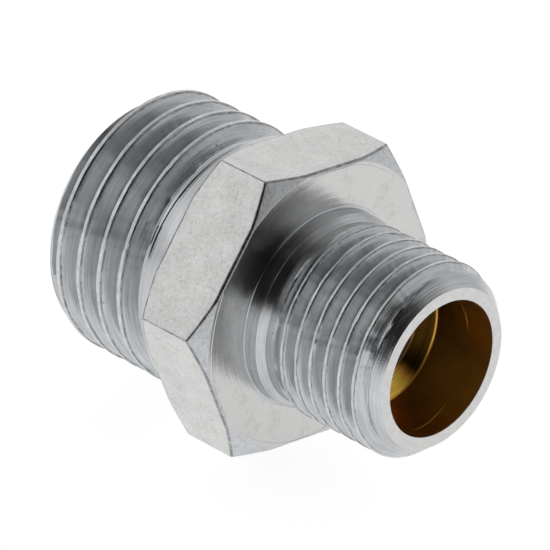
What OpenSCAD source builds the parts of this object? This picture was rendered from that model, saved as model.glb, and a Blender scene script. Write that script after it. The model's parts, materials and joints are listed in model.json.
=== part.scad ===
// Reducing hex nipple: a short pipe fitting with a parallel male thread on each side of a hexagon.
// One turned and threaded brass body carries a thin electroplated skin on all its outside faces.
// Frame: origin on the bore axis at the middle of the hexagon, +X towards the small thread,
// +Z up, lying on one flat of the hexagon. Both threads are right-hand.

/* [Hexagon] */
// Distance across the flats
hex_af = 14; // [13.8:0.1:15]
// Width of the hexagon along the axis
hex_w = 4; // [3.6:0.1:5]
// Diameter at which the corner chamfer meets each side face
hex_face_d = 14.25; // [14.1:0.05:14.6]
// Angle of the corner chamfer from the side face
hex_chamfer_deg = 30; // [20:1:35]

/* [Large thread] */
// Crest diameter
large_d = 12.92; // [12.7:0.02:13.1]
// Pitch, 19 turns to the inch
large_pitch = 1.337; // [1.25:0.001:1.4]
// Length from the hexagon to the end
large_len = 8; // [7.5:0.1:10]
// Drilled diameter behind the large end
large_bore_d = 9; // [8:0.1:9.6]
// Depth of the full drilled diameter
large_bore_depth = 5; // [3:0.1:6]

/* [Small thread] */
// Crest diameter
small_d = 9.54; // [9.4:0.02:9.7]
// Pitch, 28 turns to the inch
small_pitch = 0.907; // [0.87:0.001:0.95]
// Length from the hexagon to the end
small_len = 7.87; // [7.5:0.01:10]
// Drilled diameter behind the small end
small_bore_d = 6.76; // [6.2:0.02:7]
// Depth of the full drilled diameter
small_bore_depth = 3.45; // [2:0.05:4]

/* [Bore] */
// Diameter of the passage between the two drilled ends
passage_d = 4.9; // [4:0.1:5.4]
// Included angle of the drill points
drill_point_deg = 118; // [90:1:140]

/* [Plating] */
// Thickness of the plated skin, drawn thicker than the few microns of the real one
plating_t = 0.05; // [0.03:0.01:0.06]

/* [Hidden] */

hex_half_w = hex_w / 2;
hex_corner_r = hex_af / 2 / cos(30);
hex_face_r = hex_face_d / 2;
large_r = large_d / 2;
small_r = small_d / 2;
large_end_x = -hex_half_w - large_len;
small_end_x = hex_half_w + small_len;

// Whitworth form: 55 degrees between the flanks
flank_deg = 27.5;
depth_per_pitch = 0.6403;
// Share of the pitch left flat at the root of the groove
root_per_pitch = 0.167;
segments_per_turn = 36;
// How far the cutter stands out of the crest
cutter_proud = 0.05;
// Angle from +Y towards +Z at which the crest places below are measured
crest_deg = 149;
large_crest_x = -8.746;
small_crest_x = 4.196;

// Plain collar beside the hexagon, the relief behind it, and the length in which the thread
// runs out, on each side
large_collar_x = -3;
large_collar_r = large_r + 0.02;
large_slope_x = -3.12;
large_relief_r = large_r - 0.4;
large_relief_x = -3.85;
large_runout_x = -3.2;
large_runout_len = 0.65;
large_chamfer_len = 0.9;
large_chamfer_drop = 0.85;
small_collar_x = 2.75;
small_collar_r = small_r + 0.06;
small_slope_x = 3.1;
small_relief_r = small_r - 0.22;
small_relief_x = 3.65;
small_runout_x = 3.2;
small_runout_len = 0.68;
small_chamfer_len = 0.95;
small_chamfer_drop = 0.8;

// Turned outline on one side, from the axis out, as [x, radius]
large_profile = [
    [0, 0], [0, large_collar_r], [large_collar_x, large_collar_r],
    [large_slope_x, large_relief_r], [large_relief_x, large_relief_r],
    [large_relief_x - (large_r - large_relief_r), large_r],
    [large_end_x + large_chamfer_len, large_r],
    [large_end_x, large_r - large_chamfer_drop], [large_end_x, 0]];
small_profile = [
    [0, 0], [small_end_x, 0], [small_end_x, small_r - small_chamfer_drop],
    [small_end_x - small_chamfer_len, small_r],
    [small_relief_x + (small_r - small_relief_r), small_r],
    [small_relief_x, small_relief_r], [small_slope_x, small_relief_r],
    [small_collar_x, small_collar_r], [0, small_collar_r]];

// Unit normal on the inner side of the edge from a to b of an anticlockwise outline
function inner_normal(a, b) = [a.y - b.y, b.x - a.x] / norm(b - a);

// An anticlockwise outline with every edge moved inwards by t
function inset(outline, t) = [
    for (i = [0 : len(outline) - 1])
        let (n = len(outline),
             before = inner_normal(outline[(i + n - 1) % n], outline[i]),
             after = inner_normal(outline[i], outline[(i + 1) % n]))
        outline[i] + (before + after) * t / (1 + before * after)];

// Points about the X axis for the corners [x, radius] of a section at the angle a from +Y towards +Z
function swung(corners, a) = [for (c = corners) [c.x, c.y * cos(a), c.y * sin(a)]];

// Section of a thread groove centred at x: its root is lifted by lift, and the whole of it grown by t
function groove_section(x, pitch, crest_r, lift, t) =
    let (root_r = crest_r - depth_per_pitch * pitch - t + lift,
         top_r = crest_r - t + cutter_proud,
         root = root_per_pitch * pitch / 2 + t * (1 - sin(flank_deg)) / cos(flank_deg),
         top = root + (top_r - root_r) * tan(flank_deg))
    [[x - root, root_r], [x + root, root_r], [x + top, top_r], [x - top, top_r]];

// Solid of revolution about X from an [x, radius] outline
module turned(outline) {
    rotate([0, 90, 0])
        rotate_extrude($fn = 96)
            polygon([for (p = outline) [p.y, p.x]]);
}

// Drilled length about X, straight or tapered
module drilled(x_from, x_to, r_from, r_to) {
    translate([x_from, 0, 0])
        rotate([0, 90, 0])
            cylinder(h = x_to - x_from, r1 = r_from, r2 = r_to, $fn = 96);
}

// Cutter for a right-hand thread groove from x_from to x_to, which gets shallower over
// runout_len and ends at runout_x. crest_x is the place of one crest at the angle crest_deg.
module groove_cutter(pitch, crest_r, crest_x, x_from, x_to, runout_x, runout_len, t) {
    steps = ceil((x_to - x_from) / pitch * segments_per_turn);
    full_lift = depth_per_pitch * pitch + cutter_proud * 0.6;
    rings = [
        for (i = [0 : steps])
            let (x = x_from + (x_to - x_from) * i / steps,
                 lift = full_lift * max(0, 1 - abs(x - runout_x) / runout_len))
            swung(groove_section(x, pitch, crest_r, lift, t),
                  crest_deg + 360 * ((x - crest_x) / pitch - 0.5))];
    sides = [
        for (i = [0 : steps - 1], j = [0 : 3])
            let (a = 4 * i + j, b = 4 * i + (j + 1) % 4)
            each [[a, b + 4, b], [a, a + 4, b + 4]]];
    last = 4 * steps;
    ends = [[0, 1, 2, 3], [last + 3, last + 2, last + 1, last]];
    polyhedron(points = [for (r = rings) each r], faces = concat(sides, ends), convexity = 10);
}

// Hexagon of bar with its corners chamfered towards both faces
module hexagon(t) {
    rim_r = hex_corner_r + 0.3;
    rim_x = hex_half_w - (rim_r - hex_face_r) * tan(hex_chamfer_deg);
    chamfered = [
        [-hex_half_w, 0], [hex_half_w, 0], [hex_half_w, hex_face_r],
        [rim_x, rim_r], [-rim_x, rim_r], [-hex_half_w, hex_face_r]];
    intersection() {
        rotate([0, 90, 0])
            rotate([0, 0, 30])
                cylinder(h = hex_w * 2, r = hex_corner_r - t / cos(30), center = true, $fn = 6);
        turned(inset(chamfered, t));
    }
}

// The whole outside of the fitting with no bore, with every face moved inwards by t
module blank(t) {
    difference() {
        union() {
            hexagon(t);
            turned(inset(large_profile, t));
            turned(inset(small_profile, t));
        }
        groove_cutter(large_pitch, large_r, large_crest_x, large_end_x - large_pitch,
                      large_runout_x, large_runout_x, large_runout_len, t);
        groove_cutter(small_pitch, small_r, small_crest_x, small_runout_x,
                      small_end_x + small_pitch, small_runout_x, small_runout_len, t);
    }
}

// The waterway: a drilled hole from each end, and the passage that joins them
module waterway() {
    large_bore_r = large_bore_d / 2;
    small_bore_r = small_bore_d / 2;
    passage_r = passage_d / 2;
    point_slope = tan(drill_point_deg / 2);
    large_floor_x = large_end_x + large_bore_depth;
    small_floor_x = small_end_x - small_bore_depth;
    drilled(large_end_x - 1, large_floor_x, large_bore_r, large_bore_r);
    drilled(large_floor_x, large_floor_x + large_bore_r / point_slope, large_bore_r, 0);
    drilled(large_floor_x, small_floor_x, passage_r, passage_r);
    drilled(small_floor_x - small_bore_r / point_slope, small_floor_x, 0, small_bore_r);
    drilled(small_floor_x, small_end_x + 1, small_bore_r, small_bore_r);
}

// Machined brass, threaded outside and bare in the bore
module brass_body() {
    color("goldenrod")
        difference() {
            blank(plating_t);
            waterway();
        }
}

// Plated skin over the threads, the hexagon and the end faces, open at both bore mouths
module plating() {
    color("silver")
        difference() {
            blank(0);
            blank(plating_t);
            waterway();
        }
}

brass_body();
plating();
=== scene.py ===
"""Looks of the reducing hex nipple: its plated skin and its brass body, and a plain studio round them.

The skin and the body are fine meshes with procedural metals. The threads are real helices.

Lengths are in millimetres until a mesh is written. Angles round the axis run from +Y towards +Z.
"""

import json
import math

import bmesh
import bpy
import numpy as np
from mathutils import Matrix, Vector


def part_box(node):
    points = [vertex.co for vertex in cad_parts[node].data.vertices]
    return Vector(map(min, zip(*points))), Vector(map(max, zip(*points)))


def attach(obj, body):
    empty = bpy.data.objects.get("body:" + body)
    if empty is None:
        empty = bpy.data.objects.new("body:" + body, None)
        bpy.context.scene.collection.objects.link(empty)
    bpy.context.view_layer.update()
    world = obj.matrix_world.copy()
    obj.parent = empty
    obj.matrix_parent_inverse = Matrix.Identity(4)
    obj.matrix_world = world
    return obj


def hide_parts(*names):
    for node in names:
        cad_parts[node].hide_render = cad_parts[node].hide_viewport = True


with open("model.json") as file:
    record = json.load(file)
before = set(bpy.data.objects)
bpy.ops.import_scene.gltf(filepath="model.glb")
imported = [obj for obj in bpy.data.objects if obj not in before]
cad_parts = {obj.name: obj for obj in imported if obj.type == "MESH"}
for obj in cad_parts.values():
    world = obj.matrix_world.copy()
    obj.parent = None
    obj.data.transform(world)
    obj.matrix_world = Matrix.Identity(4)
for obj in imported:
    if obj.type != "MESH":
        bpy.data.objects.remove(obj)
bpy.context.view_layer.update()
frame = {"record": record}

MM = 0.001
SEED = 11

# ---- Sizes, from the frame where it states them ----

skin_low, skin_high = (np.array(corner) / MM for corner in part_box("plating"))
core_high = np.array(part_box("brass_body")[1]) / MM
mounts = {m["name"]: m for m in frame["record"]["mounts"]}


def mount_size(name, key):
    return mounts[name]["dims"][key]


LARGE_END = -skin_low[0]
SMALL_END = skin_high[0]
PLATING = skin_high[0] - core_high[0]
FLAT_R = skin_high[2]
HEX_HALF = mounts["small_side_shoulder"]["pos_m"][0] / MM
LARGE_R = mount_size("large_thread", "r_mm")
SMALL_R = mount_size("small_thread", "r_mm")
LARGE_BORE = (mount_size("large_end_bore", "r_mm"), mount_size("large_end_bore", "length_mm"))
SMALL_BORE = (mount_size("small_end_bore", "r_mm"), mount_size("small_end_bore", "length_mm"))
PASSAGE_R = mount_size("passage_bore", "r_mm")

# ---- Sizes of the hexagon, the threads and the bore that the frame doesn't state ----

SIXTH = math.pi / 3
HEX_FACE_R = 7.125
HEX_CHAMFER = math.radians(30)
HEX_EDGE_ROUND = 0.16
HEX_CORNER_ROUND = 0.08
# where each hexagon face's mesh takes over from its collar's, above the collar
FACE_START = 0.2
COLLAR_ROUND = 0.06

# Whitworth form; a crest is at each side's crest_at where the angle round the axis is CREST_ANGLE
FLANK = math.radians(27.5)
DEPTH_PER_PITCH = 0.6403
ROOT_PER_PITCH = 0.167
CREST_ANGLE = math.radians(149)

DRILL_SLOPE = math.tan(math.radians(59))
BORE_ROUND = 0.08
# how far the brass stays inside the plating
CORE_GAP = 0.003

# ---- Wear and tool marks on the threads ----

# depth of the crest's ragged edge, and the scale of its waves
COARSE_RAG, COARSE_WAVES = 0.012, 24
FINE_RAG, FINE_WAVES = 0.004, 70
ROOT_BLEND = 0.09
CREST_BLEND_PER_PITCH = 0.06
CUT_BLEND = 0.012
# how far the run-out lifts the thread's root above the crests, to be cut off by the turned outline
RUNOUT_OVER = 0.03
NICKS = 12
NICK_DEPTH = (0.01, 0.035)
NICK_DEGREES = (0.8, 2.4)

# ---- Material slots of the skin, and where they lie on the threads ----

# the edge slot's metal is a darker line painted along the hexagon's edges and corners and beside each
# crest: painted shade
TURNED, CREST, PAINTED_EDGE_SHADE, HEX_FLAT, CHAMFER, FACE, END_FACE = range(7)

# share of the crest's half width that is crest metal, and share of the flank beside it that is edge metal,
# a painted shade line
CREST_SHARE = 0.85
PAINTED_SHADE_SHARE = 0.11
# share of the thread's depth that may be cut away before the crest's metals stop
CUT_SHARE = 0.3

# degrees beyond which an edge is shaded sharp
SKIN_SHARP = 32
CORE_SHARP = 30

# ---- Outlines and meshes ----


def inset(path, t):
    """An (x, radius) path moved in by t, without its first and last points. Outside is on its left."""
    path = np.array(path, float)
    step = np.diff(path, axis=0)
    normal = np.stack([-step[:, 1], step[:, 0]], -1) / np.linalg.norm(step, axis=1)[:, None]
    before, after = normal[:-1], normal[1:]
    return path[1:-1] - t * (before + after) / (1 + (before * after).sum(1))[:, None]


def rounded(path, radius, steps=5):
    """A path with each inside point replaced by an arc."""
    path = np.array(path, float)
    made = [path[0]]
    for a, p, b in zip(path, path[1:], path[2:]):
        u, v = (a - p) / np.linalg.norm(a - p), (b - p) / np.linalg.norm(b - p)
        half = math.acos(np.clip(u @ v, -1, 1)) / 2
        centre = p + (u + v) / np.linalg.norm(u + v) * radius / math.sin(half)
        start, end = p + u * radius / math.tan(half), p + v * radius / math.tan(half)
        for s in np.linspace(0, 1, steps):
            way = (start - centre) * (1 - s) + (end - centre) * s
            made.append(centre + way / np.linalg.norm(way) * radius)
    return np.array([*made, path[-1]])


def corner_limit():
    """Half the angle that a hexagon corner's rounding takes up, seen from the axis."""
    reach = (FLAT_R - HEX_CORNER_ROUND) / math.cos(SIXTH / 2)
    return math.atan2(HEX_CORNER_ROUND / 2, reach + HEX_CORNER_ROUND * math.cos(SIXTH / 2))


def column_angles():
    """Angles of the mesh's columns: one a degree, with more at the hexagon's six corners."""
    limit = math.degrees(corner_limit())
    extra = [s * limit * side for s in (0.4, 0.75, 1, 2) for side in (-1, 1)]
    corners = [60.0 * i + d for i in range(6) for d in extra]
    return np.radians(np.unique(np.mod([*range(360), *corners], 360.0)))


COLUMNS = column_angles()


class Shell:
    """A skin round the X axis, made of bands: each a grid of rows along the axis by columns round it."""

    # vertices closer than this are joined, and edges shorter than this are dropped
    MERGE = 0.002
    SHORTEST = 0.001

    def __init__(self, name):
        self.name, self.points, self.faces, self.slots, self.count = name, [], [], [], 0

    def band(self, x, r, slots, turn=0):
        """Adds rows of x and radius. A row of a thread meets the row turn places on after going round.

        slots is one material slot, or a table of them by row and column.
        """
        rows, cols = x.shape
        ring = np.stack([x, r * np.cos(COLUMNS), r * np.sin(COLUMNS)], -1)
        self.points.append(ring.reshape(-1, 3))
        index = self.count + np.arange(rows * cols).reshape(rows, cols)
        self.count += rows * cols
        here, there = index[:, :-1], index[:, 1:]
        quads = np.stack([here[:-1], here[1:], there[1:], there[:-1]], -1)
        last, first = index[: rows - turn, -1], index[turn:, 0]
        seam = np.stack([last[:-1], last[1:], first[1:], first[:-1]], -1)
        slots = np.broadcast_to(slots, (rows - 1, cols))
        self.faces += [quads.reshape(-1, 4), seam]
        self.slots += [slots[:, :-1].ravel(), slots[: len(seam), -1]]

    def line(self, stations, slot):
        """Adds a band from stations of (x, radius), each a number or one value for each column."""
        flat = np.ones(len(COLUMNS))
        x, r = (np.array([station[i] * flat for station in stations]) for i in (0, 1))
        self.band(x, r, slot)

    def build(self, materials, sharp_deg):
        """The object made of the bands, joined where they meet and shaded sharp beyond an angle."""
        mesh = bpy.data.meshes.new(self.name)
        points = np.concatenate(self.points) * MM
        mesh.from_pydata(points.tolist(), [], np.concatenate(self.faces).tolist())
        for material in materials:
            mesh.materials.append(material)
        mesh.polygons.foreach_set("material_index", np.concatenate(self.slots).astype(np.int32))
        bm = bmesh.new()
        bm.from_mesh(mesh)
        bmesh.ops.remove_doubles(bm, verts=bm.verts, dist=self.MERGE * MM)
        bmesh.ops.dissolve_degenerate(bm, edges=bm.edges, dist=self.SHORTEST * MM)
        bmesh.ops.recalc_face_normals(bm, faces=bm.faces)
        bm.to_mesh(mesh)
        bm.free()
        mesh.polygons.foreach_set("use_smooth", [True] * len(mesh.polygons))
        mesh.set_sharp_from_angle(angle=math.radians(sharp_deg))
        obj = bpy.data.objects.new(self.name, mesh)
        bpy.context.scene.collection.objects.link(obj)
        return obj


# ---- One threaded side: from the hexagon's face, over the collar and thread, to the end face ----


def smooth_min(a, b, k):
    """The lower of two heights, blended over about k where they meet."""
    h = np.clip(0.5 + 0.5 * (b - a) / k, 0, 1)
    return b + (a - b) * h - k * h * (1 - h)


def wander(angle, scale, rng):
    """Smooth noise of about unit size along the helix. A higher scale makes shorter waves."""
    count = 9
    waves, phases = rng.uniform(0.4, 1.0, count) * scale, rng.uniform(0, 2 * math.pi, count)
    return sum(np.sin(w * angle + p) for w, p in zip(waves, phases)) / math.sqrt(count)


class Side:
    """side is 1 for the small end and -1 for the large one. Distances are from the hexagon's middle."""

    def __init__(self, side, pitch, crest_r, crest_at, runout_at, runout_len, outline, bore_r, seed):
        self.side, self.pitch, self.crest_r, self.bore_r, self.seed = side, pitch, crest_r, bore_r, seed
        self.crest_x, self.runout_x, self.runout_len = side * crest_at, side * runout_at, runout_len
        end = outline[-1][0]
        self.path = [(HEX_HALF, FLAT_R), (HEX_HALF, outline[0][1]), *outline, (end, bore_r)]
        self.depth = DEPTH_PER_PITCH * pitch
        self.root_half = ROOT_PER_PITCH * pitch / 2
        self.flank_wide = self.depth * math.tan(FLANK)
        self.crest_half = pitch / 2 - self.root_half - self.flank_wide

    def samples(self, fine):
        """Places along one pitch from a crest's middle to the next, close together at the edges."""
        on_crest = (0.5, 0.7, CREST_SHARE) if fine else ()
        on_flank = (0, 0.04, 0.08, 0.12, 0.2, 0.4, 0.65, 0.88, 1.03) if fine else (0, 0.5, 1)
        crest = [share * self.crest_half for share in on_crest]
        flank = [self.crest_half + self.flank_wide * share for share in on_flank]
        half = [0, *crest, *flank]
        return np.array([*half, self.pitch / 2, *(self.pitch - place for place in reversed(half[1:]))])

    def helix(self):
        """How far along the axis the thread has moved in each column."""
        return (COLUMNS - CREST_ANGLE)[None, :] / (2 * math.pi) * self.pitch

    def rows(self, fine, outline, t):
        """The threaded surface's x, radius and material slots by row, and how many rows make a turn."""
        samples = self.samples(fine)
        places = np.sort(self.side * outline[:, 0])
        lo, hi = places[0], places[-1]
        first = math.floor((lo - self.crest_x) / self.pitch) - 1
        last = math.ceil((hi - self.crest_x) / self.pitch) + 1
        base = np.concatenate([self.crest_x + self.pitch * n + samples for n in range(first, last)])
        x = np.clip(base[:, None] + self.helix(), lo, hi)
        for place in places[1:-1]:
            x[np.abs(x - place).argmin(0), np.arange(x.shape[1])] = place
        middle = (samples + np.append(samples[1:], self.pitch)) / 2
        # the flank beside each crest, on its +x side, gets the edge metal's painted shade line
        near = (middle > self.crest_half) & (middle < self.crest_half + PAINTED_SHADE_SHARE * self.flank_wide)
        slots = np.where(near, PAINTED_EDGE_SHADE, TURNED)
        slots[np.minimum(middle, self.pitch - middle) < self.crest_half * CREST_SHARE] = CREST
        slots = np.tile(slots, last - first)[: len(base) - 1, None]
        r = self.radius(x, fine, outline, t)
        turned_off = r < self.crest_r - t - CUT_SHARE * self.depth
        return x, r, np.where(turned_off[:-1] | turned_off[1:], TURNED, slots), len(samples)

    def radius(self, x, fine, outline, t):
        """The threaded surface's radius, inset by t, and no more than the turned outline's."""
        turned = np.interp(self.side * x, outline[:, 0], outline[:, 1])
        turns = (x - self.helix() - self.crest_x) / self.pitch
        from_crest = np.abs((turns + 0.5) % 1 - 0.5) * self.pitch
        crest_r = self.crest_r - t
        ramp = np.clip(1 - np.abs(x - self.runout_x) / self.runout_len, 0, 1)
        lift = (self.depth + RUNOUT_OVER) * ramp
        drop = (from_crest - self.crest_half) / math.tan(FLANK)
        if not fine:
            drop = np.clip(drop + t / math.sin(FLANK) - t, 0, self.depth)
            return np.minimum(turned, crest_r - drop + lift)
        rng = np.random.default_rng(self.seed)
        angle = COLUMNS[None, :] + 2 * math.pi * np.floor(turns + 0.5)
        leading = np.sign((turns + 0.5) % 1 - 0.5)
        rag = COARSE_RAG * wander(angle + leading, COARSE_WAVES, rng)
        rag = rag + FINE_RAG * wander(angle - leading, FINE_WAVES, rng)
        drop = smooth_min(drop + rag / math.tan(FLANK), self.depth, ROOT_BLEND)
        drop = -smooth_min(-drop, 0, CREST_BLEND_PER_PITCH * self.pitch)
        drop += self.nicks(angle, rng) * np.exp(-((from_crest / self.crest_half / 1.4) ** 4))
        return smooth_min(turned, crest_r - drop + lift, CUT_BLEND)

    def nicks(self, angle, rng):
        """Small dents knocked into the crest."""
        depth = 0
        for where in rng.uniform(angle.min(), angle.max(), NICKS):
            width = math.radians(rng.uniform(*NICK_DEGREES)) * LARGE_R / self.crest_r
            depth = depth + rng.uniform(*NICK_DEPTH) * np.exp(-(((angle - where) / width) ** 2))
        return depth

    def add(self, shell, fine, t, only=None):
        """The bands of this side in order from the end face's bore edge to the hexagon's face."""
        outline = inset(self.path, t)
        neck, thread = outline[:3], outline[2:]
        x, r, slots, turn = self.rows(fine, thread, t)
        end_r, start_r = (r[-1], r[0]) if self.side > 0 else (r[0], r[-1])
        end = self.side * thread[-1, 0]
        collar = [(neck[0, 0], neck[0, 1] + FACE_START), *neck]
        if fine:
            collar = rounded(collar, COLLAR_ROUND)
        run_in = [(self.side * px, pr) for px, pr in collar[:-1]]
        face, slots, turned = (END_FACE, slots, TURNED) if only is None else (only,) * 3
        # the middle station keeps the end face's quads near the bore narrow
        shell.line([(end, self.bore_r), (end, self.bore_r + 0.25), (end, end_r)], face)
        shell.band(x, r, slots, turn)
        shell.line([(self.side * neck[-1, 0], start_r), *run_in[::-1]], turned)


small = Side(
    side=1, pitch=0.907, crest_r=SMALL_R, crest_at=4.196, runout_at=3.2, runout_len=0.68,
    bore_r=SMALL_BORE[0], seed=SEED,
    outline=[
        (2.75, SMALL_R + 0.06), (3.1, SMALL_R - 0.22), (3.65, SMALL_R - 0.22), (3.87, SMALL_R),
        (SMALL_END - 0.95, SMALL_R), (SMALL_END, SMALL_R - 0.8),
    ],
)  # fmt: skip
large = Side(
    side=-1, pitch=1.337, crest_r=LARGE_R, crest_at=8.746, runout_at=3.2, runout_len=0.65,
    bore_r=LARGE_BORE[0], seed=SEED + 1,
    outline=[
        (3.0, LARGE_R + 0.02), (3.12, LARGE_R - 0.4), (3.44, LARGE_R - 0.38), (3.5, LARGE_R - 0.46),
        (3.57, LARGE_R - 0.4), (3.85, LARGE_R - 0.42), (4.25, LARGE_R),
        (LARGE_END - 0.9, LARGE_R), (LARGE_END, LARGE_R - 0.85),
    ],
)  # fmt: skip

# ---- The hexagon between them ----


def from_corner(angle):
    """Angle from the hexagon's nearest corner. The corners are at every 60 degrees from 0."""
    return np.abs((angle + SIXTH / 2) % SIXTH - SIXTH / 2)


def hexagon_radius(t):
    """Radius of the hexagon's rounded outline in each column, inset by t."""
    off = from_corner(COLUMNS)
    reach = (FLAT_R - t - HEX_CORNER_ROUND) / math.cos(SIXTH / 2)
    flat = (FLAT_R - t) / np.cos(SIXTH / 2 - off)
    arc = reach * np.cos(off) + np.sqrt(np.clip(HEX_CORNER_ROUND**2 - (reach * np.sin(off)) ** 2, 0, None))
    return np.where(off <= corner_limit() * 1.001, arc, flat)


# degrees from the axis of the stations round each edge's arc
FLAT_EDGE_ANGLES = (90, 75, 60, 45, 30)
FACE_EDGE_ANGLES = (30, 20, 10, 0)


def hexagon_edge(side, t):
    """Stations over the rounded edge between the flats, the chamfer and the face on that side."""
    edge_r = hexagon_radius(t) - HEX_EDGE_ROUND
    half = HEX_HALF - t - HEX_EDGE_ROUND
    slope = (math.cos(HEX_CHAMFER), math.sin(HEX_CHAMFER))
    reach = slope[0] * HEX_HALF + slope[1] * HEX_FACE_R - t - HEX_EDGE_ROUND
    flat_x = np.minimum((reach - slope[1] * edge_r) / slope[0], half)
    face_r = np.minimum((reach - slope[0] * half) / slope[1], edge_r)
    flat_side = [(flat_x, edge_r, a) for a in np.radians(FLAT_EDGE_ANGLES)]
    face_side = [(half, face_r, a) for a in np.radians(FACE_EDGE_ANGLES)]
    return [
        (side * (x + HEX_EDGE_ROUND * math.cos(a)), r + HEX_EDGE_ROUND * math.sin(a))
        for x, r, a in flat_side + face_side
    ]


def flat_slots():
    """The flats' material in each column, with the edge metal's painted shade line at the corners."""
    middle = (COLUMNS + np.append(COLUMNS[1:], 2 * math.pi)) / 2
    return np.where(from_corner(middle) < corner_limit(), PAINTED_EDGE_SHADE, HEX_FLAT)


def add_hexagon(shell, fine, t, only=None):
    """The hexagon from its face on the small side, over the flats, to its face on the large side."""
    flat, edge, chamfer, face = (flat_slots(), PAINTED_EDGE_SHADE, CHAMFER, FACE) if only is None else (only,) * 4
    front, back = hexagon_edge(1, t), hexagon_edge(-1, t)
    split = len(FLAT_EDGE_ANGLES) - 1
    half = HEX_HALF - t
    small_neck, large_neck = (side.path[1][1] - t + FACE_START for side in (small, large))
    if fine:
        rim = front[-1][1]
        # a faint ridge that the facing tool leaves near the rim
        ridge = [(half, 6.85), (half + 0.02, 6.88), (half + 0.02, 6.93), (half, 6.96)]
        rings = [(x, np.minimum(r, rim)) for x, r in ridge]
        shell.line([(half, small_neck), (half, 5.8), *rings, (half, rim)], face)
    else:
        shell.line([(half, small_neck), front[-1]], face)
    shell.line(front[: split - 1 : -1], chamfer)
    # the rounded edges of the flats, front and back, get the edge metal's painted shade line
    shell.line(front[split::-1], edge)
    front_x, flat_r = front[0]
    between = [(front_x * share, flat_r) for share in (0.5, 0, -0.5)]
    shell.line([front[0], *between, back[0]], flat)
    shell.line(back[: split + 1], edge)
    shell.line(back[split:], chamfer)
    shell.line([back[-1], (-half, large_neck)], face)


# ---- The two pieces ----


def bore_stations():
    """The bore's stations, from the plating at the large mouth to the plating at the small one."""
    large_floor, small_floor = -LARGE_END + LARGE_BORE[1], SMALL_END - SMALL_BORE[1]
    large_throat = large_floor + (LARGE_BORE[0] - PASSAGE_R) / DRILL_SLOPE
    small_throat = small_floor - (SMALL_BORE[0] - PASSAGE_R) / DRILL_SLOPE
    path = [
        (-LARGE_END + PLATING, LARGE_BORE[0]), (large_floor, LARGE_BORE[0]), (large_throat, PASSAGE_R),
        (small_throat, PASSAGE_R), (small_floor, SMALL_BORE[0]), (SMALL_END - PLATING, SMALL_BORE[0]),
    ]  # fmt: skip
    return rounded(path, BORE_ROUND)


def whole_outside(shell, fine, t, only=None):
    """The outside, inset by t and fine or plain, in its own material slots or in only one."""
    small.add(shell, fine, t, only)
    add_hexagon(shell, fine, t, only)
    large.add(shell, fine, t, only)


def plated_skin(materials):
    """The plating: a fine outside, a plain inside, and a rim at each bore mouth."""
    shell = Shell("plated_skin")
    whole_outside(shell, True, 0)
    whole_outside(shell, False, PLATING, END_FACE)
    for side in (small, large):
        end = side.path[-1][0] * side.side
        shell.line([(end, side.bore_r), (end - PLATING * side.side, side.bore_r)], END_FACE)
    return shell.build(materials, SKIN_SHARP)


def brass_core(materials):
    """The brass: a plain outside just inside the plating, and the bore from mouth to mouth."""
    shell = Shell("brass_core")
    whole_outside(shell, False, PLATING + CORE_GAP, 0)
    shell.line(bore_stations(), 0)
    for side in (small, large):
        end = side.path[-1][0] * side.side
        rows = [(end - (PLATING + gap) * side.side, side.bore_r) for gap in (0, CORE_GAP)]
        shell.line(rows, 0)
    return shell.build(materials, CORE_SHARP)


# ---- Materials ----


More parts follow.
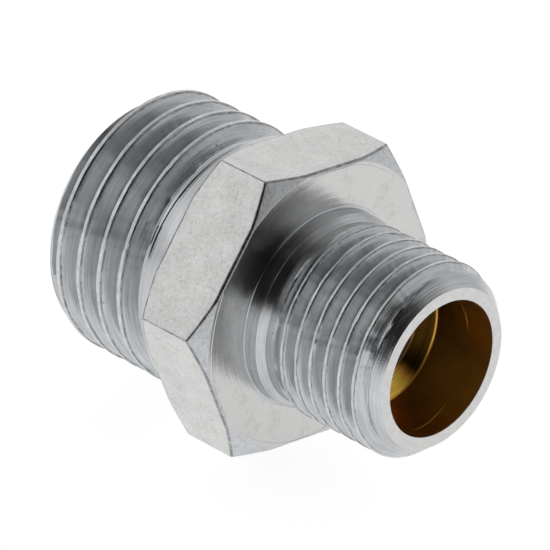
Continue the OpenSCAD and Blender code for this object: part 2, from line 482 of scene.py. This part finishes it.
class Shading:
    """Builds one metal's node tree. Places are in millimetres, and scales are to a millimetre."""

    def __init__(self, name):
        self.material = bpy.data.materials.new(name)
        self.material.use_nodes = True
        self.tree = self.material.node_tree
        self.shader = self.tree.nodes["Principled BSDF"]
        self.coords()

    def node(self, kind, inputs=(), **settings):
        """A new node with its settings, and its inputs given as values or as sockets to link."""
        made = self.tree.nodes.new("ShaderNode" + kind)
        for key, value in settings.items():
            setattr(made, key, value)
        for key, value in dict(inputs).items():
            self.put(made.inputs[key], value)
        return made

    def put(self, socket, value):
        if isinstance(value, bpy.types.NodeSocket):
            self.tree.links.new(value, socket)
        else:
            socket.default_value = value

    def math(self, operation, a, b=0.0, c=0.0):
        return self.node("Math", {0: a, 1: b, 2: c}, operation=operation).outputs[0]

    def vector(self, operation, inputs):
        return self.node("VectorMath", inputs, operation=operation).outputs[0]

    def coords(self):
        """Position in millimetres, distance from the axis, direction from it, x, and angle round it."""
        place = self.node("TexCoord").outputs["Object"]
        self.mm = self.vector("SCALE", {0: place, "Scale": 1 / MM})
        across = self.vector("MULTIPLY", {0: self.mm, 1: (0, 1, 1)})
        self.out = self.vector("NORMALIZE", {0: across})
        self.radius = self.node("VectorMath", {0: across}, operation="LENGTH").outputs["Value"]
        self.x, y, z = self.node("SeparateXYZ", {0: self.mm}).outputs
        self.angle = self.math("ARCTAN2", z, y)

    def noise(self, scale, detail=2.0, rough=0.5, seed=0.0):
        """Even noise with scale features to a millimetre."""
        offset = (seed, seed * 2, -seed)
        vector = self.vector("ADD", {0: self.mm, 1: offset})
        inputs = {"Vector": vector, "Scale": scale, "Detail": detail, "Roughness": rough}
        return self.node("TexNoise", inputs).outputs["Fac"]

    def turned(self, along, round_scale, out, detail=3.0, rough=0.6, seed=0.0):
        """Noise drawn out round the axis: along and out are its lines to a millimetre along and off it."""
        round_about = self.vector("SCALE", {0: self.out, "Scale": round_scale})
        lines = self.node("CombineXYZ", {0: self.math("MULTIPLY_ADD", self.x, along, seed)}).outputs[0]
        vector = self.vector("ADD", {0: round_about, 1: lines})
        w = self.math("MULTIPLY", self.radius, out)
        inputs = {"Vector": vector, "W": w, "Scale": 1.0, "Detail": detail, "Roughness": rough}
        return self.node("TexNoise", inputs, noise_dimensions="4D").outputs["Fac"]

    def spots(self, per_mm, size, seed=0.0):
        """1 inside small scattered spots and 0 between them."""
        vector = self.vector("ADD", {0: self.mm, 1: (seed, -seed, seed)})
        cells = self.node("TexVoronoi", {"Vector": vector, "Scale": per_mm, "Randomness": 1.0})
        uneven = self.math("MULTIPLY", self.noise(per_mm * 1.7, 1.0, seed=seed + 3), size * 2)
        return self.fade(cells.outputs["Distance"], uneven, 0.0)

    def fade(self, value, low, high):
        """0 at low and 1 at high, smoothly."""
        inputs = {"Value": value, "From Min": low, "From Max": high}
        return self.node("MapRange", inputs, interpolation_type="SMOOTHSTEP").outputs[0]

    def near(self, value, middle, reach):
        """1 about the middle value, falling to 0 at reach from it."""
        return self.fade(self.math("ABSOLUTE", self.math("SUBTRACT", value, middle)), reach, reach / 2)

    def range(self, value, low, high):
        """A 0 to 1 value, stretched about its middle half, taken from low to high."""
        inputs = {"Value": value, "From Min": 0.3, "From Max": 0.7, "To Min": low, "To Max": high}
        return self.node("MapRange", inputs).outputs[0]

    def bumps(self, *layers):
        """Heights as (0 to 1 value, depth in millimetres), laid over each other."""
        normal = None
        for height, depth in layers:
            inputs = {"Height": height, "Distance": depth * MM, "Strength": 1.0}
            if normal is not None:
                inputs["Normal"] = normal
            normal = self.node("Bump", inputs).outputs[0]
        self.put(self.shader.inputs["Normal"], normal)

    def colour(self, value):
        """The socket of a colour given as three numbers or as a socket."""
        if isinstance(value, bpy.types.NodeSocket):
            return value
        rgb = self.node("RGB").outputs[0]
        rgb.default_value = (*value, 1)
        return rgb

    def blend(self, share, colour, other):
        """A colour where share is 0 and the other where it is 1."""
        inputs = {"Factor": share, "A": self.colour(colour), "B": self.colour(other)}
        made = self.node("Mix", data_type="RGBA")
        for key, value in inputs.items():
            socket = [i for i in made.inputs if i.name == key and i.enabled][0]
            self.put(socket, value)
        return [o for o in made.outputs if o.enabled][0]

    def finish(self, colour, roughness, shade):
        """The metal with its colour multiplied by shade."""
        shaded = self.vector("SCALE", {0: self.colour(colour), "Scale": shade})
        self.put(self.shader.inputs["Base Color"], shaded)
        self.put(self.shader.inputs["Metallic"], 1.0)
        self.put(self.shader.inputs["Roughness"], roughness)
        return self.material


NICKEL = (0.56, 0.575, 0.59)
WARM_NICKEL = (0.635, 0.632, 0.625)
CREST_NICKEL = (0.68, 0.69, 0.7)
BRASS = (0.8, 0.5, 0.11)
# the cones' redder brass is a painted reflection, standing in for light bounced inside the bore
CONE_PAINTED_BRASS = (0.85, 0.4, 0.06)
TARNISH = (0.52, 0.45, 0.4)


def thread_metal():
    """Turned flanks and roots: fine lines, darker streaks, and deeper lines on the small end's tip."""
    s = Shading("plated_thread")
    fine_lines = s.turned(26, 1.5, 26)
    broad_lines = s.turned(4, 0.6, 5, detail=1.0, seed=3.0)
    cloud = s.noise(0.5, seed=5.0)
    grain = s.noise(14)
    pits = s.spots(0.9, 0.05, seed=2.0)
    on_tip = s.fade(s.x, SMALL_END - 1.0, SMALL_END - 0.75)
    tip_lines = s.math("MULTIPLY", s.turned(7, 0.8, 7, rough=0.7, seed=8.0), on_tip)
    pit_bed = s.math("SUBTRACT", 1.0, pits)
    s.bumps((broad_lines, 0.016), (fine_lines, 0.005), (grain, 0.0015), (pit_bed, 0.02), (tip_lines, 0.05))
    streaks = s.range(s.turned(9, 2.2, 9, detail=4.0, seed=1.0), 0.78, 1.08)
    shade = s.math("MULTIPLY", streaks, s.range(cloud, 0.88, 1.06))
    return s.finish(NICKEL, s.range(cloud, 0.18, 0.3), s.math("MULTIPLY_ADD", pits, -0.8, shade))


def crest_metal():
    """The crests' worn and slightly burred tops."""
    s = Shading("plated_crest")
    burr = s.turned(9, 22, 9, rough=0.65, seed=7.0)
    grain = s.noise(16, detail=3.0, rough=0.6)
    worn = s.range(s.noise(2.6, detail=6.0, rough=0.75, seed=9.0), 0.62, 1.1)
    s.bumps((burr, 0.014), (grain, 0.004))
    return s.finish(CREST_NICKEL, s.range(grain, 0.3, 0.45), worn)


def painted_edge_shade_metal():
    """A thin dark line painted along sharp edges and beside the crests: painted shade."""
    s = Shading("plated_edge_painted_shade")
    grain = s.noise(9, detail=3.0, rough=0.6, seed=5.0)
    s.bumps((grain, 0.006))
    # the line's painted shade, broken up by noise
    shade = s.range(s.noise(2.2, detail=5.0, rough=0.7, seed=4.0), 0.25, 0.85)
    return s.finish(NICKEL, s.range(grain, 0.2, 0.35), shade)


def flat_metal():
    """The bar's drawn flats: a slow ripple, lines along the axis, pits, and crackled patches."""
    s = Shading("plated_hex_flat")
    ripple = s.noise(1.4, detail=3.0, seed=1.0)
    grain = s.noise(8, detail=4.0, rough=0.7, seed=4.0)
    pits = s.math("MAXIMUM", s.spots(2.6, 0.08, seed=6.0), s.spots(5.0, 0.09, seed=2.0))
    crackle = s.fade(s.noise(5.0, detail=6.0, rough=0.8, seed=3.0), 0.5, 0.6)
    stretch = s.vector("MULTIPLY", {0: s.mm, 1: (1.2, 18, 18)})
    drawn = {"Vector": stretch, "Scale": 1.0, "Detail": 4.0, "Roughness": 0.6}
    lines = s.node("TexNoise", drawn).outputs["Fac"]
    s.bumps((ripple, 0.025), (grain, 0.012), (lines, 0.004), (s.math("SUBTRACT", 1.0, pits), 0.02))
    cloud = s.range(s.noise(0.9, detail=3.0, rough=0.6, seed=8.0), 0.92, 1.06)
    shade = s.math("MULTIPLY_ADD", pits, -0.45, s.math("MULTIPLY_ADD", crackle, -0.16, cloud))
    return s.finish(WARM_NICKEL, s.range(grain, 0.22, 0.38), shade)


def chamfer_metal():
    """The hexagon's grainy chamfers."""
    s = Shading("plated_chamfer")
    grain = s.noise(10, detail=3.0, rough=0.65, seed=2.0)
    s.bumps((s.turned(9, 1.0, 9), 0.006), (grain, 0.022))
    shade = s.range(s.noise(6.0, detail=4.0, rough=0.7, seed=1.0), 0.85, 1.25)
    return s.finish(NICKEL, s.range(grain, 0.35, 0.6), shade)


def face_metal():
    """The hexagon's turned faces: fine rings, stains and pits."""
    s = Shading("plated_face")
    rings = s.turned(1, 0.7, 20, rough=0.55, seed=2.0)
    broad = s.turned(1, 1.2, 3.2, detail=1.0, rough=0.5, seed=5.0)
    grain = s.noise(10, detail=3.0, rough=0.6, seed=6.0)
    stains = s.fade(s.noise(1.3, detail=6.0, rough=0.7, seed=3.0), 0.5, 0.7)
    s.bumps((broad, 0.014), (rings, 0.006), (grain, 0.004))
    pits = s.spots(1.6, 0.06, seed=4.0)
    shade = s.math("MULTIPLY_ADD", stains, -0.12, s.math("MULTIPLY_ADD", pits, -0.5, 0.9))
    return s.finish(WARM_NICKEL, s.range(s.noise(0.8, seed=2.0), 0.12, 0.22), shade)


def end_metal():
    """The end faces and the plating's hidden inside."""
    s = Shading("plated_end")
    grain = s.noise(8, detail=3.0, rough=0.6, seed=1.0)
    s.bumps((s.turned(1, 1.0, 14, detail=2.0), 0.004), (grain, 0.006))
    shade = s.range(s.noise(3.0, detail=5.0, rough=0.7), 0.85, 1.02)
    return s.finish(WARM_NICKEL, s.range(grain, 0.26, 0.38), shade)


def brass():
    """Reamed brass with two short spiral scratches near the small mouth and a tarnished passage.

    Inside the small bore's radius the cones get painted shade and a redder brass, with a strong and a
    faint painted glint set by the angle round the axis.
    """
    s = Shading("bare_brass")
    lines = s.turned(16, 1.0, 16)
    spiral = s.math("MULTIPLY_ADD", s.angle, 0.4, s.x)
    off = s.math("ABSOLUTE", s.math("SUBTRACT", spiral, SMALL_END - 1.5))
    arcs = s.math("ADD", s.near(s.angle, 0.55, 0.5), s.near(s.angle, -1.35, 0.5))
    scratch = s.math("MULTIPLY", s.fade(off, 0.035, 0.01), arcs)
    grain = s.noise(12, seed=3.0)
    s.bumps((lines, 0.006), (grain, 0.002), (scratch, 0.012))
    tarnish = s.fade(s.radius, PASSAGE_R + 0.06, PASSAGE_R)
    on_cone = s.fade(s.radius, SMALL_BORE[0] - 0.04, SMALL_BORE[0] - 0.12)
    # painted glints at fixed angles round the axis, over a painted shade of 0.07 on the cones
    faint = s.math("MULTIPLY", s.near(s.angle, 0.5, 0.35), 0.1)
    painted_glints = s.math("MULTIPLY_ADD", s.near(s.angle, -1.3, 0.6), 1.9, faint)
    cone_painted_shade_and_glints = s.math("MULTIPLY", s.math("ADD", painted_glints, 0.07), s.range(lines, 0.4, 1.3))
    wall_shade = s.math("MULTIPLY_ADD", scratch, 0.5, s.range(s.noise(1.2), 0.76, 0.86))
    cone = s.math("MULTIPLY", on_cone, s.math("SUBTRACT", 1.0, tarnish))
    to_cone = s.math("MULTIPLY", cone, s.math("SUBTRACT", cone_painted_shade_and_glints, wall_shade))
    shade = s.math("ADD", wall_shade, to_cone)
    colour = s.blend(tarnish, s.blend(cone, BRASS, CONE_PAINTED_BRASS), TARNISH)
    return s.finish(colour, s.range(grain, 0.28, 0.38), shade)


# ---- Studio: a white floor under a dome with soft lights on it, far outside the object ----

# in metres, like the rest of the studio's sizes
DOME_R = 0.8
DOME_GREY = 0.3
DARKEST = 0.01
FLOOR_WHITE = 0.4
FLOOR_GLOW = 0.87

# azimuth and elevation in degrees, half width and half height, and what it adds; azimuth 0 is
# towards -Y and 90 towards +X. They were set by fitting, to give the photo's reflections.
LIGHTS = [
    (-100, 12, 80, 42, 0.5),
    (-36, 33, 24, 16, 0.35),
    (-145, 20, 22, 20, 0.2),
    (140, 22, 34, 28, 0.42),
    (46, 20, 50, 52, -0.32),
]
# a light is gone at this share of its half width or height, and fades over this share of it
LIGHT_END = 1.3
LIGHT_FADE = 0.6


def emitter(name, colour=(0, 0, 0)):
    """A material that shines, and its shader."""
    material = bpy.data.materials.new(name)
    material.use_nodes = True
    material.cycles.emission_sampling = "NONE"
    shader = material.node_tree.nodes["Principled BSDF"]
    shader.inputs["Base Color"].default_value = (*colour, 1)
    shader.inputs["Roughness"].default_value = 0.9
    shader.inputs["Specular IOR Level"].default_value = 0.0
    shader.inputs["Emission Color"].default_value = (1, 1, 1, 1)
    return material, shader


def dome_light(azimuth, elevation):
    """How strongly the dome shines in each direction."""
    total = np.full(azimuth.shape, DOME_GREY)
    for az, el, half_width, half_height, strength in LIGHTS:
        across = np.abs((azimuth - az + 180) % 360 - 180) / half_width
        off = np.maximum(across, np.abs(elevation - el) / half_height)
        total += strength * np.clip((LIGHT_END - off) / LIGHT_FADE, 0, 1)
    return np.clip(total, DARKEST, None)


def dome():
    """A hemisphere from just under the floor up, whose light is held in its vertices."""
    azimuth, elevation = np.meshgrid(np.linspace(-180, 180, 121), np.linspace(-1, 90, 46))
    az, el = np.radians(azimuth), np.radians(elevation)
    points = DOME_R * np.stack([np.sin(az) * np.cos(el), -np.cos(az) * np.cos(el), np.sin(el)], -1)
    index = np.arange(az.size).reshape(az.shape)
    quads = np.stack([index[:-1, :-1], index[1:, :-1], index[1:, 1:], index[:-1, 1:]], -1)
    mesh = bpy.data.meshes.new("dome")
    mesh.from_pydata(points.reshape(-1, 3).tolist(), [], quads.reshape(-1, 4).tolist())
    glow = mesh.attributes.new("glow", "FLOAT", "POINT")
    glow.data.foreach_set("value", dome_light(azimuth, elevation).ravel().astype(np.float32))
    material, shader = emitter("dome")
    reader = material.node_tree.nodes.new("ShaderNodeAttribute")
    reader.attribute_name = "glow"
    material.node_tree.links.new(reader.outputs["Fac"], shader.inputs["Emission Strength"])
    mesh.materials.append(material)
    obj = bpy.data.objects.new("dome", mesh)
    bpy.context.scene.collection.objects.link(obj)


def floor():
    """The shining floor under the hexagon's lowest flat."""
    mesh = bpy.data.meshes.new("floor")
    corners = [(-DOME_R, -DOME_R), (DOME_R, -DOME_R), (DOME_R, DOME_R), (-DOME_R, DOME_R)]
    mesh.from_pydata([(x, y, -FLAT_R * MM) for x, y in corners], [], [(0, 1, 2, 3)])
    material, shader = emitter("floor", (FLOOR_WHITE,) * 3)
    shader.inputs["Emission Strength"].default_value = FLOOR_GLOW
    mesh.materials.append(material)
    obj = bpy.data.objects.new("floor", mesh)
    bpy.context.scene.collection.objects.link(obj)


# ---- Camera: where the photo was taken from, as fitted to the hexagon's corners and the rims ----

CAMERA_AT = Vector((204.809, -232.723, 142.375))
CAMERA_RIGHT = Vector((0.7097183, 0.6955272, 0.1119907))
CAMERA_UP = Vector((-0.3655103, 0.2276449, 0.9025409))
CAMERA_LENS = 482.73
SENSOR_WIDTH = 36


def camera():
    data = bpy.data.cameras.new("camera")
    data.lens, data.sensor_width = CAMERA_LENS, SENSOR_WIDTH
    data.clip_start, data.clip_end = 0.01, 20
    obj = bpy.data.objects.new("camera", data)
    back = CAMERA_RIGHT.cross(CAMERA_UP)
    turn = Matrix((CAMERA_RIGHT, CAMERA_UP, back)).transposed().to_4x4()
    obj.matrix_world = Matrix.Translation(CAMERA_AT * MM) @ turn
    bpy.context.scene.collection.objects.link(obj)
    bpy.context.scene.camera = obj


# ---- The scene ----

skin = plated_skin(
    [thread_metal(), crest_metal(), painted_edge_shade_metal(), flat_metal(), chamfer_metal(), face_metal(), end_metal()]
)
core = brass_core([brass()])
for piece, node, slot in ((skin, "plating", "plated_metal"), (core, "brass_body", "bare_brass")):
    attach(piece, "root")
    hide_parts(node)

dome()
floor()
camera()
bpy.context.scene.view_settings.view_transform = "Standard"
